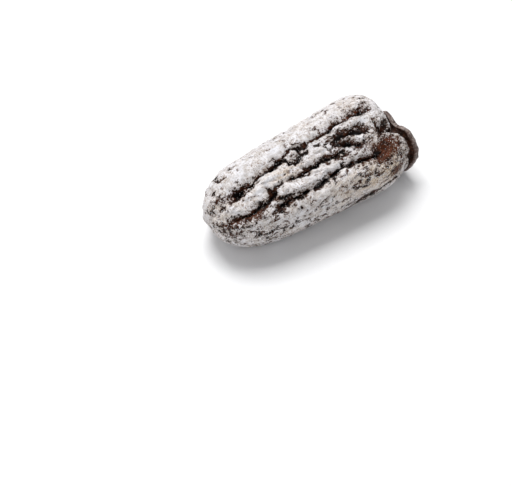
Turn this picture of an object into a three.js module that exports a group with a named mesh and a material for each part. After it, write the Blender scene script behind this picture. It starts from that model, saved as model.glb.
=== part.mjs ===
// Dried persimmon, hung and then pressed while it dried: a long folded body, the ring of skin left round
// the stalk end, the dried calyx cup and its hollow stem stub.
// Millimetres, +Z up. The fruit lies on its flattened belly along X, with its tip at -X and its calyx at +X.
// Angles round the fruit run from the front (-Y, 0 degrees) over the top (+Z, 90) to the back (180)
// and the belly (270).

import * as THREE from 'three';
import { mergeVertices } from 'three/addons/utils/BufferGeometryUtils.js';

const DEG = Math.PI / 180;

// Body: driving dimensions
const TIP_X = -43.5;                 // the rounded tip
const END_X = 40.5;                  // where the body would close if it weren't cut back
const LENGTH = END_X - TIP_X;
const HALF_WIDTH = [17.0, 21.4];     // at the tip end and at the shoulder end
const HALF_HEIGHT = [14.0, 15.5];    // above the axis, likewise
const BELLY_DEPTH = [18.0, 18.8];    // below the axis, before the belly is pressed flat
const AXIS_Z = 14.5;
const SECTION_POWER = 2.3;           // 2 is an ellipse; more is squarer
const BELLY_SOFTNESS = 1.2;          // how gently the flat belly runs into the sides
const NOSE_POWERS = [3.6, 2.2];      // the rounding of the tip
const SHOULDER_POWERS = [6, 2.6];    // and of the blunt stalk end
const TO_STALK_FROM = 0.93;          // share of the length where the body moves over to the stalk
const FOLD_RADIUS = 18;              // turns an angle round the fruit into millimetres along its skin
const FOLD_FADE = 2.5;               // over which a fold fades at its two ends
const FOLD_END = 0.35;               // and the share of it that is left there
const FOLD_REACH = 0.7;              // share of a fold's width at which it has fallen to 1/e
const POLE_FADE = 0.35;              // folds fade where the body is less full than this
const STATIONS = 64;                 // mesh rings along the fruit
const SEGMENTS = 92;                 // mesh segments round it
const CROWDING = 0.4;                // how much the segments crowd towards the folded upper side
const CROWD_ANGLE = 70 * DEG;

// Stalk end: the end face of the flesh and the pieces on it share one axis
const STALK_CENTRE = new THREE.Vector3(36.2, -4.2, 11.6);
const STALK_YAW = 6 * DEG;           // towards the back
const STALK_PITCH = 5 * DEG;         // downwards
const END_FACE_RADIUS = 5.5;         // flat in the middle
const END_FACE_RISE = 0.02;          // and dished beyond it, per square millimetre
const CUT_FROM = 0.9;                // share of the length beyond which the flesh is cut back to the face
const CUT_SOFTNESS = 1.2;
const GAP = 0.35;                    // between pieces that touch
const WALL_STEPS = 10;               // along the section of a thin wall
const TURNED_SEGMENTS = 48;          // round the stalk

// Middle lines of the thin pieces, as [distance from the stalk axis, height along it]. The waves of a rim
// are [depth, waves round it, phase].
const COLLAR = {
  line: [[5.5, 0.8], [6.8, 2.1], [8.4, 3.2], [10.2, 3.7], [11.8, 3.5], [12.6, 2.9], [12.7, 2.1]],
  wall: 1.3,
  waves: [[0.25, 4, 0.6], [0.2, 7, 0]],
  notch: 3.2,                        // how far the lip folds in at its one deep notch
  notchSink: 0.3,                    // and the share of its height that it loses there
  notchAngle: 88 * DEG,
  notchSpread: 24 * DEG,
  drawn: 0.6,                        // how far it is drawn in at the front
  drawnAngle: -30 * DEG,
  drawnSpread: 45 * DEG,
  pressed: 2.8,                      // and how much it is pressed in at the bottom
  pressedSpread: 30 * DEG,
};
const CUP = {
  line: [[0, 1.4], [3.6, 1.4], [4.6, 2.5], [5.9, 3.8], [7.2, 4.7], [8.4, 5.2]],
  wall: 0.75,
  waves: [[0.3, 5, 2], [0.2, 9, 0]],
  ripple: 0.3,                       // how far its rim stands in and out
  ripples: 3,
  sepals: 4,
  dip: 1.3,                          // between two sepals
  dipPower: 6,                       // more is a narrower dip
  deepestSpread: 30 * DEG,           // round the dip beside the notch in the collar
  pressed: 0.7,
  pressedSpread: 40 * DEG,
  shift: [0.3, -0.2],                // its rim sits off centre, to the back and down
};
const BOTTOM = 270 * DEG;
const STUB = {
  radius: 2.2,
  bore: 1.45,
  height: 3.4,
  boreDepth: 2.4,
  waist: 0.92,                       // share of the radius, and the share of the height where it is
  waistAt: 0.6,
  rim: 0.2,                          // rounding of the cut end, outside and inside
  boreRim: [0.15, 0.25],
  boreTaper: 0.85,
  boreFloor: 0.3,                    // how much deeper the bore is in its middle
  segments: 24,
};

// Placing the whole part: its box is centred over the origin
const CENTRE_SHIFT = new THREE.Vector3(0.25, 0.6, 0);

// Places on the body are given as its share of the length, from 0 at the tip to 1 at the stalk end, and an
// angle in degrees. Broad swellings and hollows spread by so many millimetres along it and degrees round it.
const SWELLINGS = [
  { name: 'upper lobe end', at: 0.9, angle: 130, spread: [8, 22], height: 1.1 },
  { name: 'lower lobe end', at: 0.96, angle: 12, spread: [7, 26], height: -1.6 },
  { name: 'waist of the upper lobe', at: 0.42, angle: 130, spread: [24, 22], height: -1.5 },
  { name: 'upper lobe crest', at: 0.52, angle: 116, spread: [60, 15], height: 0.5 },
  { name: 'lower lobe crest', at: 0.56, angle: 22, spread: [60, 15], height: 0.6 },
  { name: 'sunken band between the lobes', at: 0.48, angle: 70, spread: [38, 23], height: -3.3 },
  { name: 'gap between the lobe ends', at: 0.96, angle: 72, spread: [7, 14], height: -5.5 },
  { name: 'bare hollow', at: 0.82, angle: 43, spread: [5, 14], height: -2.4 },
  { name: 'front underside', at: 0.47, angle: 326, spread: [40, 14], height: -0.8 },
  { name: 'back hollow', at: 0.59, angle: 178, spread: [26, 17], height: -2.2 },
  { name: 'back lower lobe', at: 0.47, angle: 212, spread: [40, 15], height: 0.7 },
];

// Grooves: the width across, the depth, and a path of places
const GROOVES = [
  { name: 'upper main', width: 2.6, depth: 3.6,
    path: [[0.08, 88], [0.2, 85], [0.35, 92], [0.45, 96], [0.55, 94], [0.7, 98], [0.88, 101]] },
  { name: 'tip pit', width: 4.8, depth: 3.6, path: [[0.1, 81], [0.16, 79]] },
  { name: 'lower left', width: 2.9, depth: 3.4, path: [[0.05, 35], [0.15, 41], [0.22, 48], [0.28, 62]] },
  { name: 'lower main', width: 2.6, depth: 3.4,
    path: [[0.22, 30], [0.3, 35], [0.45, 38], [0.6, 46], [0.68, 44], [0.8, 38]] },
  { name: 'middle left', width: 1.9, depth: 1.7, path: [[0.24, 46], [0.33, 43]] },
  { name: 'middle', width: 2.2, depth: 2.1, path: [[0.35, 61], [0.55, 67], [0.64, 63], [0.65, 54]] },
  { name: 'middle pit', width: 2.6, depth: 1.9, path: [[0.58, 52], [0.62, 51]] },
  { name: 'upper right', width: 2.4, depth: 2.0, path: [[0.64, 86], [0.72, 82], [0.81, 75]] },
  { name: 'dark gap', width: 3.2, depth: 3.0, path: [[0.62, 82], [0.67, 72], [0.74, 60]] },
  { name: 'lobe gap', width: 4.2, depth: 3.5, path: [[0.86, 67], [0.97, 74]] },
  { name: 'tip crease', width: 1.8, depth: 1.2, path: [[0.08, 133], [0.13, 116]] },
  { name: 'front low crease', width: 2.8, depth: 0.9, path: [[0.62, 340], [0.88, 349]] },
  { name: 'back main', width: 3.4, depth: 3.4, path: [[0.08, 172], [0.3, 178], [0.54, 181], [0.92, 176]] },
  { name: 'back upper', width: 3.0, depth: 2.0, path: [[0.23, 152], [0.5, 155], [0.78, 153]] },
  { name: 'back lower', width: 3.2, depth: 2.6, path: [[0.15, 200], [0.47, 201], [0.64, 198], [0.82, 205]] },
  { name: 'back low crease', width: 3.2, depth: 2.0, path: [[0.26, 224], [0.45, 220], [0.85, 224]] },
  { name: 'belly fold', width: 3.2, depth: 4.6,
    path: [[0.12, 250], [0.3, 245], [0.5, 250], [0.68, 245], [0.88, 249]] },
  { name: 'belly crease', width: 3.2, depth: 4.2, path: [[0.21, 298], [0.4, 302], [0.6, 297], [0.78, 301]] },
];

// Raised folds between the grooves, in the same form
const CRESTS = [
  { name: 'long crest', width: 4.2, height: 1.3,
    path: [[0.04, 60], [0.17, 66], [0.23, 72], [0.4, 72], [0.6, 77], [0.68, 62], [0.77, 48]] },
  { name: 'short crest', width: 3.2, height: 1.1, path: [[0.26, 53], [0.42, 51], [0.6, 60]] },
  { name: 'lump', width: 4.4, height: 1.1, path: [[0.71, 70], [0.79, 71]] },
  { name: 'smaller lump', width: 2.8, height: 1.5, path: [[0.67, 77], [0.73, 76]] },
  { name: 'finger ridge', width: 2.6, height: 1.6, path: [[0.5, 89], [0.66, 93], [0.83, 89]] },
  { name: 'knob', width: 3.0, height: 1.6, path: [[0.41, 90], [0.45, 90]] },
];

const mix = (a, b, t) => a + (b - a) * t;
const bell = (d) => Math.exp(-d * d);
const turn = (a, b) => Math.atan2(Math.sin(a - b), Math.cos(a - b));

function smoothStep(from, to, value) {
  const t = THREE.MathUtils.clamp((value - from) / (to - from), 0, 1);
  return t * t * (3 - 2 * t);
}

// The smaller or the larger of two numbers, rounded off where they meet
function softMin(a, b, softness) {
  const h = Math.max(softness - Math.abs(a - b), 0) / softness;
  return Math.min(a, b) - h * h * softness / 4;
}
const softMax = (a, b, softness) => -softMin(-a, -b, softness);

// How full the body is at t, from 0 at the tip to 1 at the stalk end: a round nose and a blunt shoulder
function fullness(t) {
  const u = Math.min(Math.abs(2 * t - 1), 1);
  const [along, across] = t < 0.5 ? NOSE_POWERS : SHOULDER_POWERS;
  return (1 - u ** along) ** (1 / across);
}

// Ring places that are evenly spread over the body's outline, ends included
function evenStations(count) {
  const samples = 2000;
  const lengths = [0];
  for (let i = 1; i <= samples; i += 1) {
    const rise = FOLD_RADIUS * (fullness(i / samples) - fullness((i - 1) / samples));
    lengths.push(lengths[i - 1] + Math.hypot(LENGTH / samples, rise));
  }
  const stations = [];
  let i = 0;
  for (let k = 0; k <= count; k += 1) {
    const wanted = lengths[samples] * k / count;
    while (i < samples && lengths[i + 1] < wanted) i += 1;
    const share = i < samples ? (wanted - lengths[i]) / (lengths[i + 1] - lengths[i]) : 0;
    stations.push((i + share) / samples);
  }
  return stations;
}

// The body before its folds: a flattened, slightly square section that moves over to the stalk at the end
function plainSurface(t, angle) {
  const full = fullness(t);
  const c = Math.cos(angle);
  const s = Math.sin(angle);
  const square = (Math.abs(c) ** SECTION_POWER + Math.abs(s) ** SECTION_POWER) ** (-1 / SECTION_POWER);
  const height = s > 0 ? mix(...HALF_HEIGHT, t) : mix(...BELLY_DEPTH, t);
  const toStalk = smoothStep(TO_STALK_FROM, 1, t);
  return new THREE.Vector3(
    mix(TIP_X, END_X, t),
    STALK_CENTRE.y * toStalk - mix(...HALF_WIDTH, t) * full * c * square,
    mix(AXIS_Z, STALK_CENTRE.z, toStalk) + height * full * s * square,
  );
}

// Strength of a path's mark at a place on the skin: 1 on the path, fading across it and at its two ends
function pathMark(path, width, t, angle) {
  let nearest = Infinity;
  let along = 0;
  let total = 0;
  for (let i = 1; i < path.length; i += 1) {
    const [t0, a0] = path[i - 1];
    const [t1, a1] = path[i];
    const dx = (t1 - t0) * LENGTH;
    const dy = (a1 - a0) * DEG * FOLD_RADIUS;
    const px = (t - t0) * LENGTH;
    const py = turn(angle, a0 * DEG) * FOLD_RADIUS;
    const length = Math.hypot(dx, dy);
    const share = THREE.MathUtils.clamp((px * dx + py * dy) / (length * length), 0, 1);
    const distance = Math.hypot(px - share * dx, py - share * dy);
    if (distance < nearest) {
      nearest = distance;
      along = total + share * length;
    }
    total += length;
  }
  const fade = Math.min(FOLD_FADE, total / 3);
  const ends = smoothStep(0, fade, along) * smoothStep(0, fade, total - along);
  return bell(nearest / (FOLD_REACH * width)) * mix(FOLD_END, 1, ends);
}

// How far the folds lift or sink the skin at a place
function relief(t, angle) {
  let lift = 0;
  for (const s of SWELLINGS) {
    const along = (t - s.at) * LENGTH / s.spread[0];
    const round = turn(angle, s.angle * DEG) / (s.spread[1] * DEG);
    lift += s.height * bell(along) * bell(round);
  }
  let crest = 0;
  for (const c of CRESTS) crest = Math.max(crest, c.height * pathMark(c.path, c.width, t, angle));
  let groove = 0;
  for (const g of GROOVES) groove = Math.max(groove, g.depth * pathMark(g.path, g.width, t, angle));
  return lift + crest - groove;
}

// A turned frame whose X axis points out of the fruit along the stalk
const stalkFrame = new THREE.Object3D();
stalkFrame.position.copy(STALK_CENTRE);
stalkFrame.rotation.set(0, STALK_PITCH, STALK_YAW);
stalkFrame.updateMatrixWorld();

// How far along the stalk axis the flesh reaches at a distance from that axis
const endFace = (radius) => END_FACE_RISE * Math.max(radius - END_FACE_RADIUS, 0) ** 2;

function fleshPoint(t, angle) {
  const step = 1e-3;
  const point = plainSurface(t, angle);
  const low = Math.max(t - step, 0);
  const high = Math.min(t + step, 1);
  const along = plainSurface(high, angle).sub(plainSurface(low, angle));
  const round = plainSurface(t, angle + step).sub(plainSurface(t, angle - step));
  const outward = along.cross(round).normalize();
  const nearPole = smoothStep(0, POLE_FADE, fullness(t));
  point.addScaledVector(outward, relief(t, angle) * nearPole);
  if (t > CUT_FROM) {                // the stalk end is cut back to its end face
    stalkFrame.worldToLocal(point);
    point.x = softMin(point.x, endFace(Math.hypot(point.y, point.z)), CUT_SOFTNESS);
    stalkFrame.localToWorld(point);
  }
  point.z = softMax(point.z, 0, BELLY_SOFTNESS);
  return point;
}

// A closed geometry without seams, ready to be shaped vertex by vertex
function seamless(geometry) {
  geometry.deleteAttribute('normal');
  geometry.deleteAttribute('uv');
  return mergeVertices(geometry, 1e-5);
}

function shape(geometry, move) {
  const position = geometry.attributes.position;
  const v = new THREE.Vector3();
  for (let i = 0; i < position.count; i += 1) {
    v.fromBufferAttribute(position, i);
    move(v);
    position.setXYZ(i, v.x, v.y, v.z);
  }
  geometry.computeVertexNormals();
  return geometry;
}

function fleshGeometry() {
  const ball = seamless(new THREE.SphereGeometry(1, SEGMENTS, STATIONS).rotateZ(Math.PI / 2));
  const stations = evenStations(STATIONS);
  return shape(ball, (v) => {
    const ring = Math.round(Math.acos(THREE.MathUtils.clamp(-v.x, -1, 1)) / Math.PI * STATIONS);
    const even = Math.atan2(v.z, -v.y);
    const angle = even - CROWDING * Math.sin(even - CROWD_ANGLE);
    v.copy(fleshPoint(stations[ring], angle));
  });
}

// A turned shell round the stalk axis, from [radius, height] points that run round its section
function turned(section, segments) {
  const points = section.map(([r, h]) => new THREE.Vector2(r, h));
  return seamless(new THREE.LatheGeometry(points, segments).rotateZ(-Math.PI / 2));
}

// The section of a thin wall: its middle line is smoothed, and stood off to both sides
function wallSection(line, wall, steps) {
  const middle = new THREE.SplineCurve(line.map(([r, h]) => new THREE.Vector2(r, h))).getPoints(steps);
  const side = (sign) => middle.map((p, i) => {
    const run = middle[Math.min(i + 1, steps)].clone().sub(middle[Math.max(i - 1, 0)]).normalize();
    const r = p.x - sign * run.y * wall / 2;
    return [p.x === 0 ? 0 : r, p.y + sign * run.x * wall / 2];
  });
  return [...side(-1), ...side(1).reverse()];
}

// How far the waves of a rim reach out at an angle
function rimWave(waves, angle) {
  let reach = 0;
  for (const [depth, count, phase] of waves) reach += depth * Math.sin(count * angle + phase);
  return reach;
}

function collarGeometry() {
  const section = wallSection(COLLAR.line, COLLAR.wall, WALL_STEPS);
  const neck = COLLAR.line[0][0];
  const lip = COLLAR.line.at(-1)[0];
  return shape(turned([...section, section[0]], TURNED_SEGMENTS), (v) => {
    const radius = Math.hypot(v.y, v.z);
    const angle = Math.atan2(v.z, -v.y);
    const out = (radius - neck) / (lip - neck);
    const notch = bell(turn(angle, COLLAR.notchAngle) / COLLAR.notchSpread);
    const front = bell(turn(angle, COLLAR.drawnAngle) / COLLAR.drawnSpread);
    const bottom = bell(turn(angle, BOTTOM) / COLLAR.pressedSpread);
    const moved = -COLLAR.drawn * front - COLLAR.pressed * bottom - COLLAR.notch * notch;
    const wider = 1 + out * (rimWave(COLLAR.waves, angle) + moved) / lip;
    v.set(v.x * (1 - COLLAR.notchSink * out * notch), v.y * wider, v.z * wider);
  });
}

function cupGeometry() {
  const section = wallSection(CUP.line, CUP.wall, WALL_STEPS);
  const foot = CUP.line[1][0];
  const rim = CUP.line.at(-1)[0];
  return shape(turned(section, TURNED_SEGMENTS), (v) => {
    const radius = Math.hypot(v.y, v.z);
    const angle = Math.atan2(v.z, -v.y);
    const out = smoothStep(foot, rim, radius);
    // sepals with a dip between each two, deepest beside the notch in the collar
    const between = Math.abs(Math.cos(CUP.sepals / 2 * (angle - COLLAR.notchAngle))) ** CUP.dipPower;
    const deepest = bell(turn(angle, COLLAR.notchAngle) / CUP.deepestSpread);
    const bottom = bell(turn(angle, BOTTOM) / CUP.pressedSpread);
    const moved = -CUP.dip * (between + deepest) - CUP.pressed * bottom;
    const wider = 1 + out * (rimWave(CUP.waves, angle) + moved) / rim;
    v.set(
      v.x + CUP.ripple * out * (Math.sin(CUP.ripples * angle) - between),
      v.y * wider + out * CUP.shift[0],
      v.z * wider + out * CUP.shift[1],
    );
  });
}

function stubGeometry() {
  const { radius, bore, height, rim, boreRim } = STUB;
  const foot = CUP.line[0][1] + CUP.wall / 2 + GAP;
  const top = foot + height;
  const floor = top - STUB.boreDepth;
  return turned([
    [0, foot], [radius, foot], [radius * STUB.waist, foot + height * STUB.waistAt],
    [radius, top - rim], [radius - rim, top],
    [bore + boreRim[0], top], [bore, top - boreRim[1]],
    [bore * STUB.boreTaper, floor], [0, floor - STUB.boreFloor],
  ], STUB.segments);
}

function piece(name, geometry, color, roughness) {
  const mesh = new THREE.Mesh(geometry, new THREE.MeshStandardMaterial({ color, roughness, metalness: 0 }));
  mesh.name = name;
  return mesh;
}

const group = new THREE.Group();
group.add(piece('fruit', fleshGeometry(), 0xb9b1ae, 0.85));

const stalkEnd = new THREE.Group();
stalkEnd.position.copy(STALK_CENTRE);
stalkEnd.rotation.copy(stalkFrame.rotation);
stalkEnd.add(piece('skin_collar', collarGeometry(), 0x6d5d55, 0.55));
stalkEnd.add(piece('calyx_cup', cupGeometry(), 0xa8764d, 0.7));
stalkEnd.add(piece('stem_stub', stubGeometry(), 0x8a6a4e, 0.8));
group.add(stalkEnd);

group.position.copy(CENTRE_SHIFT);

export default group;
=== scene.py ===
"""Looks of a dried persimmon: a long folded fruit under a powdery sugar bloom, with its collar of skin,
its dried calyx and its stem stub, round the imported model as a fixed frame.

Shapes are worked out in millimetres, in the part's own coordinates. Angles round the fruit run from the
front (0 degrees) over the top (90) to the back (180) and the belly (270).
"""

import math

import bpy
import numpy as np
from mathutils import Matrix, Vector, noise


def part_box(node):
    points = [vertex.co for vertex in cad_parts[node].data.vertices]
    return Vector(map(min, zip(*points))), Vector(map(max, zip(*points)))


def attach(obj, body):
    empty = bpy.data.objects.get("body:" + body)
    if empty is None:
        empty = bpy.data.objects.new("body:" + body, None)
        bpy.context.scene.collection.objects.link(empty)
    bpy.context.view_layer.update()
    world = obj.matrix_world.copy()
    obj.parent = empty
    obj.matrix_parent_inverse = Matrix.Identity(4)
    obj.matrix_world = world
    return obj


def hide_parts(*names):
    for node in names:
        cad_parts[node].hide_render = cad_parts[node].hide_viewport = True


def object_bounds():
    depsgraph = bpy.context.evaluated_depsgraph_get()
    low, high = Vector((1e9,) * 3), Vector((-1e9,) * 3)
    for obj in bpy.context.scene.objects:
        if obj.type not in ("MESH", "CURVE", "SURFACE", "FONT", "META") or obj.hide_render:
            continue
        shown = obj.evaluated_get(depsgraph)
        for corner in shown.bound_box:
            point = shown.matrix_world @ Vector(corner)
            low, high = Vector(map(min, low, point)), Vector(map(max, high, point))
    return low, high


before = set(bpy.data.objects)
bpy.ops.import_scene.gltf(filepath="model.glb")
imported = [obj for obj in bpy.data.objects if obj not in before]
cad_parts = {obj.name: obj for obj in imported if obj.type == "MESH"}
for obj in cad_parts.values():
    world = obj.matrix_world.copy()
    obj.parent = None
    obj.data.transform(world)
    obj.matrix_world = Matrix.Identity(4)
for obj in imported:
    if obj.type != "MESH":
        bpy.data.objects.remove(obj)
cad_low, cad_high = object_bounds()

MM = 0.001


def box(node):
    """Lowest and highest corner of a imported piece, in millimetres."""
    return tuple(np.array(corner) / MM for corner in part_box(node))


# ---------------------------------------------------------------- sizes, as in the part's source

# The stalk end: collar, calyx and stub share one axis, which the stub's box gives
STALK_YAW = math.radians(6)   # towards the back
STALK_PITCH = math.radians(5)  # downwards
STALK_TURN = np.array(Matrix.Rotation(STALK_PITCH, 3, "Y") @ Matrix.Rotation(STALK_YAW, 3, "Z"))
END_FACE_RADIUS = 5.5         # flat in the middle
END_FACE_RISE = 0.02          # and dished beyond it, per square millimetre
CUT_FROM = 0.9                # share of the length beyond which the flesh is cut back to the face
CUT_SOFTNESS = 1.2
GAP = 0.35                    # between pieces that touch

# Middle lines of the thin pieces, as (distance from the stalk axis, height along it). The waves of a rim
# are (depth, waves round it, phase), and a place round it is its angle and spread in degrees.
COLLAR = {
    "line": ((5.5, 0.8), (6.8, 2.1), (8.4, 3.2), (10.2, 3.7), (11.8, 3.5), (12.6, 2.9), (12.7, 2.1)),
    "wall": 1.3,
    "waves": ((0.25, 4, 0.6), (0.2, 7, 0)),
    "notch": 3.2,             # how far the lip folds in at its one deep notch
    "notch_sink": 0.3,        # and the share of its height that it loses there
    "notch_place": (88, 24),
    "drawn": 0.6,             # how far it is drawn in at the front
    "drawn_place": (-30, 45),
    "pressed": 2.8,           # and how much it is pressed in at the bottom
    "pressed_place": (270, 30),
}
CUP = {
    "line": ((0, 1.4), (3.6, 1.4), (4.6, 2.5), (5.9, 3.8), (7.2, 4.7), (8.4, 5.2)),
    "wall": 0.75,
    "waves": ((0.3, 5, 2), (0.2, 9, 0)),
    "ripple": 0.3,            # how far its rim stands in and out
    "ripples": 3,
    "sepals": 4,
    "dip": 1.3,               # between two sepals
    "dip_power": 6,           # more is a narrower dip
    "deepest_place": (88, 30),  # the dip beside the notch in the collar
    "pressed": 0.7,
    "pressed_place": (270, 40),
    "shift": (0.3, -0.2),     # its rim sits off centre, to the back and down
}
STUB = {
    "radius": 2.2,
    "bore": 1.45,
    "height": 3.4,
    "bore_depth": 2.4,
    "waist": 0.92,            # share of the radius
    "rim": 0.2,               # rounding of the cut end, outside and inside
    "rim_drop": 0.25,
    "bore_taper": 0.85,
    "bore_floor": 0.3,        # how much deeper the bore is in its middle
}
STUB_FOOT = CUP["line"][0][1] + CUP["wall"] / 2 + GAP
STALK_CENTRE = np.mean(box("stem_stub"), axis=0) - STALK_TURN[:, 0] * (STUB_FOOT + STUB["height"] / 2)

# The body runs from the fruit's lowest X and rests on its lowest Z
LENGTH = 84.0                 # if it weren't cut back at the stalk end
TIP_X = box("fruit")[0][0]
END_X = TIP_X + LENGTH
REST_Z = box("fruit")[0][2]
AXIS_Y = STALK_CENTRE[1] + 4.2
AXIS_Z = REST_Z + 14.5
HALF_WIDTH = (17.0, 21.4)     # at the tip end and at the shoulder end
HALF_HEIGHT = (14.0, 15.5)    # above the axis, likewise
BELLY_DEPTH = (18.0, 18.8)    # below the axis, before the belly is pressed flat
SECTION_POWER = 2.3           # 2 is an ellipse; more is squarer
BELLY_SOFTNESS = 1.2          # how gently the flat belly runs into the sides
NOSE_POWERS = (3.6, 2.2)      # the rounding of the tip
SHOULDER_POWERS = (6, 2.6)    # and of the blunt stalk end
TO_STALK_FROM = 0.93          # share of the length where the body moves over to the stalk
FOLD_RADIUS = 18.0            # turns an angle round the fruit into millimetres along its skin
FOLD_FADE = 2.5               # over which a fold fades at its two ends
FOLD_END = 0.35               # and the share of it that is left there
FOLD_REACH = 0.7              # share of a fold's width at which it has fallen to 1/e
POLE_FADE = 0.35              # folds fade where the body is less full than this
CROWDING = 0.4                # how much the points crowd towards the folded upper side
CROWD_ANGLE = math.radians(70)

# A place on the body is its share of the length, from the tip, and an angle. Broad swellings and hollows:
# place, spread in millimetres and degrees, height
SWELLINGS = {
    "upper lobe end": ((0.9, 130), (8, 22), 1.1),
    "lower lobe end": ((0.96, 12), (7, 26), -1.6),
    "waist of the upper lobe": ((0.42, 130), (24, 22), -1.5),
    "upper lobe crest": ((0.52, 116), (60, 15), 0.5),
    "lower lobe crest": ((0.56, 22), (60, 15), 0.6),
    "sunken band between the lobes": ((0.48, 70), (38, 23), -3.3),
    "gap between the lobe ends": ((0.96, 72), (7, 14), -5.5),
    "bare hollow": ((0.82, 43), (5, 14), -2.4),
    "front underside": ((0.47, 326), (40, 14), -0.8),
    "back hollow": ((0.59, 178), (26, 17), -2.2),
    "back lower lobe": ((0.47, 212), (40, 15), 0.7),
}

# Grooves: width across, depth, and a path of places
GROOVES = {
    "upper main": (2.6, 3.6, (
        (0.08, 88), (0.2, 85), (0.35, 92), (0.45, 96), (0.55, 94), (0.7, 98), (0.88, 101))),
    "tip pit": (4.8, 3.6, ((0.1, 81), (0.16, 79))),
    "lower left": (2.9, 3.4, ((0.05, 35), (0.15, 41), (0.22, 48), (0.28, 62))),
    "lower main": (2.6, 3.4, ((0.22, 30), (0.3, 35), (0.45, 38), (0.6, 46), (0.68, 44), (0.8, 38))),
    "middle left": (1.9, 1.7, ((0.24, 46), (0.33, 43))),
    "middle": (2.2, 2.1, ((0.35, 61), (0.55, 67), (0.64, 63), (0.65, 54))),
    "middle pit": (2.6, 1.9, ((0.58, 52), (0.62, 51))),
    "upper right": (2.4, 2.0, ((0.64, 86), (0.72, 82), (0.81, 75))),
    "dark gap": (3.2, 3.0, ((0.62, 82), (0.67, 72), (0.74, 60))),
    "lobe gap": (4.2, 3.5, ((0.86, 67), (0.97, 74))),
    "tip crease": (1.8, 1.2, ((0.08, 133), (0.13, 116))),
    "front low crease": (2.8, 0.9, ((0.62, 340), (0.88, 349))),
    "back main": (3.4, 3.4, ((0.08, 172), (0.3, 178), (0.54, 181), (0.92, 176))),
    "back upper": (3.0, 2.0, ((0.23, 152), (0.5, 155), (0.78, 153))),
    "back lower": (3.2, 2.6, ((0.15, 200), (0.47, 201), (0.64, 198), (0.82, 205))),
    "back low crease": (3.2, 2.0, ((0.26, 224), (0.45, 220), (0.85, 224))),
    "belly fold": (3.2, 4.6, ((0.12, 250), (0.3, 245), (0.5, 250), (0.68, 245), (0.88, 249))),
    "belly crease": (3.2, 4.2, ((0.21, 298), (0.4, 302), (0.6, 297), (0.78, 301))),
}

# Raised folds between the grooves, in the same form
CRESTS = {
    "long crest": (4.2, 1.3, (
        (0.04, 60), (0.17, 66), (0.23, 72), (0.4, 72), (0.6, 77), (0.68, 62), (0.77, 48))),
    "short crest": (3.2, 1.1, ((0.26, 53), (0.42, 51), (0.6, 60))),
    "lump": (4.4, 1.1, ((0.71, 70), (0.79, 71))),
    "smaller lump": (2.8, 1.5, ((0.67, 77), (0.73, 76))),
    "finger ridge": (2.6, 1.6, ((0.5, 89), (0.66, 93), (0.83, 89))),
    "knob": (3.0, 1.6, ((0.41, 90), (0.45, 90))),
}

# ---------------------------------------------------------------- what only the finish has

# Small creases scattered over a stretch of skin: how many, the shares of the length and the angles
# between which they lie, and the ranges of their length, width and depth in millimetres
FINE_CREASES = {
    "between the lobes": (20, (0.08, 0.86), (44, 88), (2.5, 8), (0.7, 1.3), (0.6, 1.2)),
    "upper lobe": (12, (0.06, 0.92), (100, 142), (1.5, 5), (0.6, 1.1), (0.3, 0.6)),
    "lower lobe": (16, (0.05, 0.92), (-20, 32), (1.5, 5), (0.6, 1.2), (0.3, 0.7)),
    "back": (22, (0.08, 0.9), (150, 235), (3, 12), (0.8, 1.6), (0.5, 1.2)),
    "tip": (10, (0.01, 0.08), (0, 180), (1.5, 4), (0.6, 1.1), (0.3, 0.6)),
}

# How much bloom is missing beside a groove
THIN_BESIDE = {"tip pit": 0.3, "lower left": 0.3, "dark gap": 0.3, "lobe gap": 0.3}

# Stretches with thin bloom, and one of painted shade: place, spread in millimetres and degrees, how much is
# missing
THIN_BLOOM_AND_SHADE = {
    "tip above the long crest": ((0.03, 95), (5, 26), 0.2),
    "tip below the long crest": ((0.03, 10), (5, 30), 0.32),
    "crown of the upper lobe": ((0.4, 132), (34, 22), -0.12),
    "bare hollow": ((0.825, 43), (8, 14), 1.05),
    "below the tip pit": ((0.1, 73), (5, 5), 0.3),
    "below the lower left groove": ((0.09, 32), (8, 9), 0.28),
    "middle of the long crest": ((0.34, 73), (7, 9), 0.14),
    "lower lobe near the tip": ((0.2, 355), (14, 14), 0.26),
    "lower lobe": ((0.68, 20), (14, 10), 0.26),
    "knob": ((0.43, 87), (2.8, 9), 0.1),
    "between the lobes, towards the stalk": ((0.7, 82), (14, 12), 0.12),
    "lower lobe end": ((0.86, 6), (5, 9), 0.85),
    # painted shade: less bloom darkens the front underside
    "front underside": ((0.5, 330), (32, 12), 0.26),
    "stalk end of the upper lobe": ((0.78, 114), (17, 14), 0.16),
}

# Where the bloom comes off in the strongest flecks, where the bared flesh is red-brown, where black is
# painted as shade, and where the bloom is cream, in the same form
LOOSE_BLOOM = {
    "lower lobe": ((0.5, 16), (40, 24), 1.0),
    "tip": ((0.06, 30), (8, 40), 0.5),
}
RED_FLESH = {
    "bare hollow": ((0.84, 41), (9, 16), 1.2),
    "below the lower left groove": ((0.1, 32), (9, 10), 0.9),
    "tip pit": ((0.13, 84), (7, 9), 0.9),
    "stalk end of the upper main groove": ((0.83, 101), (10, 8), 0.9),
    "middle pit": ((0.66, 56), (6, 8), 0.5),
    "lower lobe end": ((0.86, 4), (6, 12), 0.9),
}
# Black painted shade at the edge of the bare hollow, where it drops away
PAINTED_SHADE_SPOTS = {
    "edge of the bare hollow": ((0.775, 43), (3, 6), 1.0),
}
CREAM_BLOOM = {
    "lower lobe": ((0.78, 14), (24, 26), 0.9),
    "middle of the long crest": ((0.34, 72), (7, 9), 0.7),
    "tip": ((0.02, 60), (6, 60), 0.3),
    "stalk end of the upper lobe": ((0.78, 116), (17, 16), 0.15),
}

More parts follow.
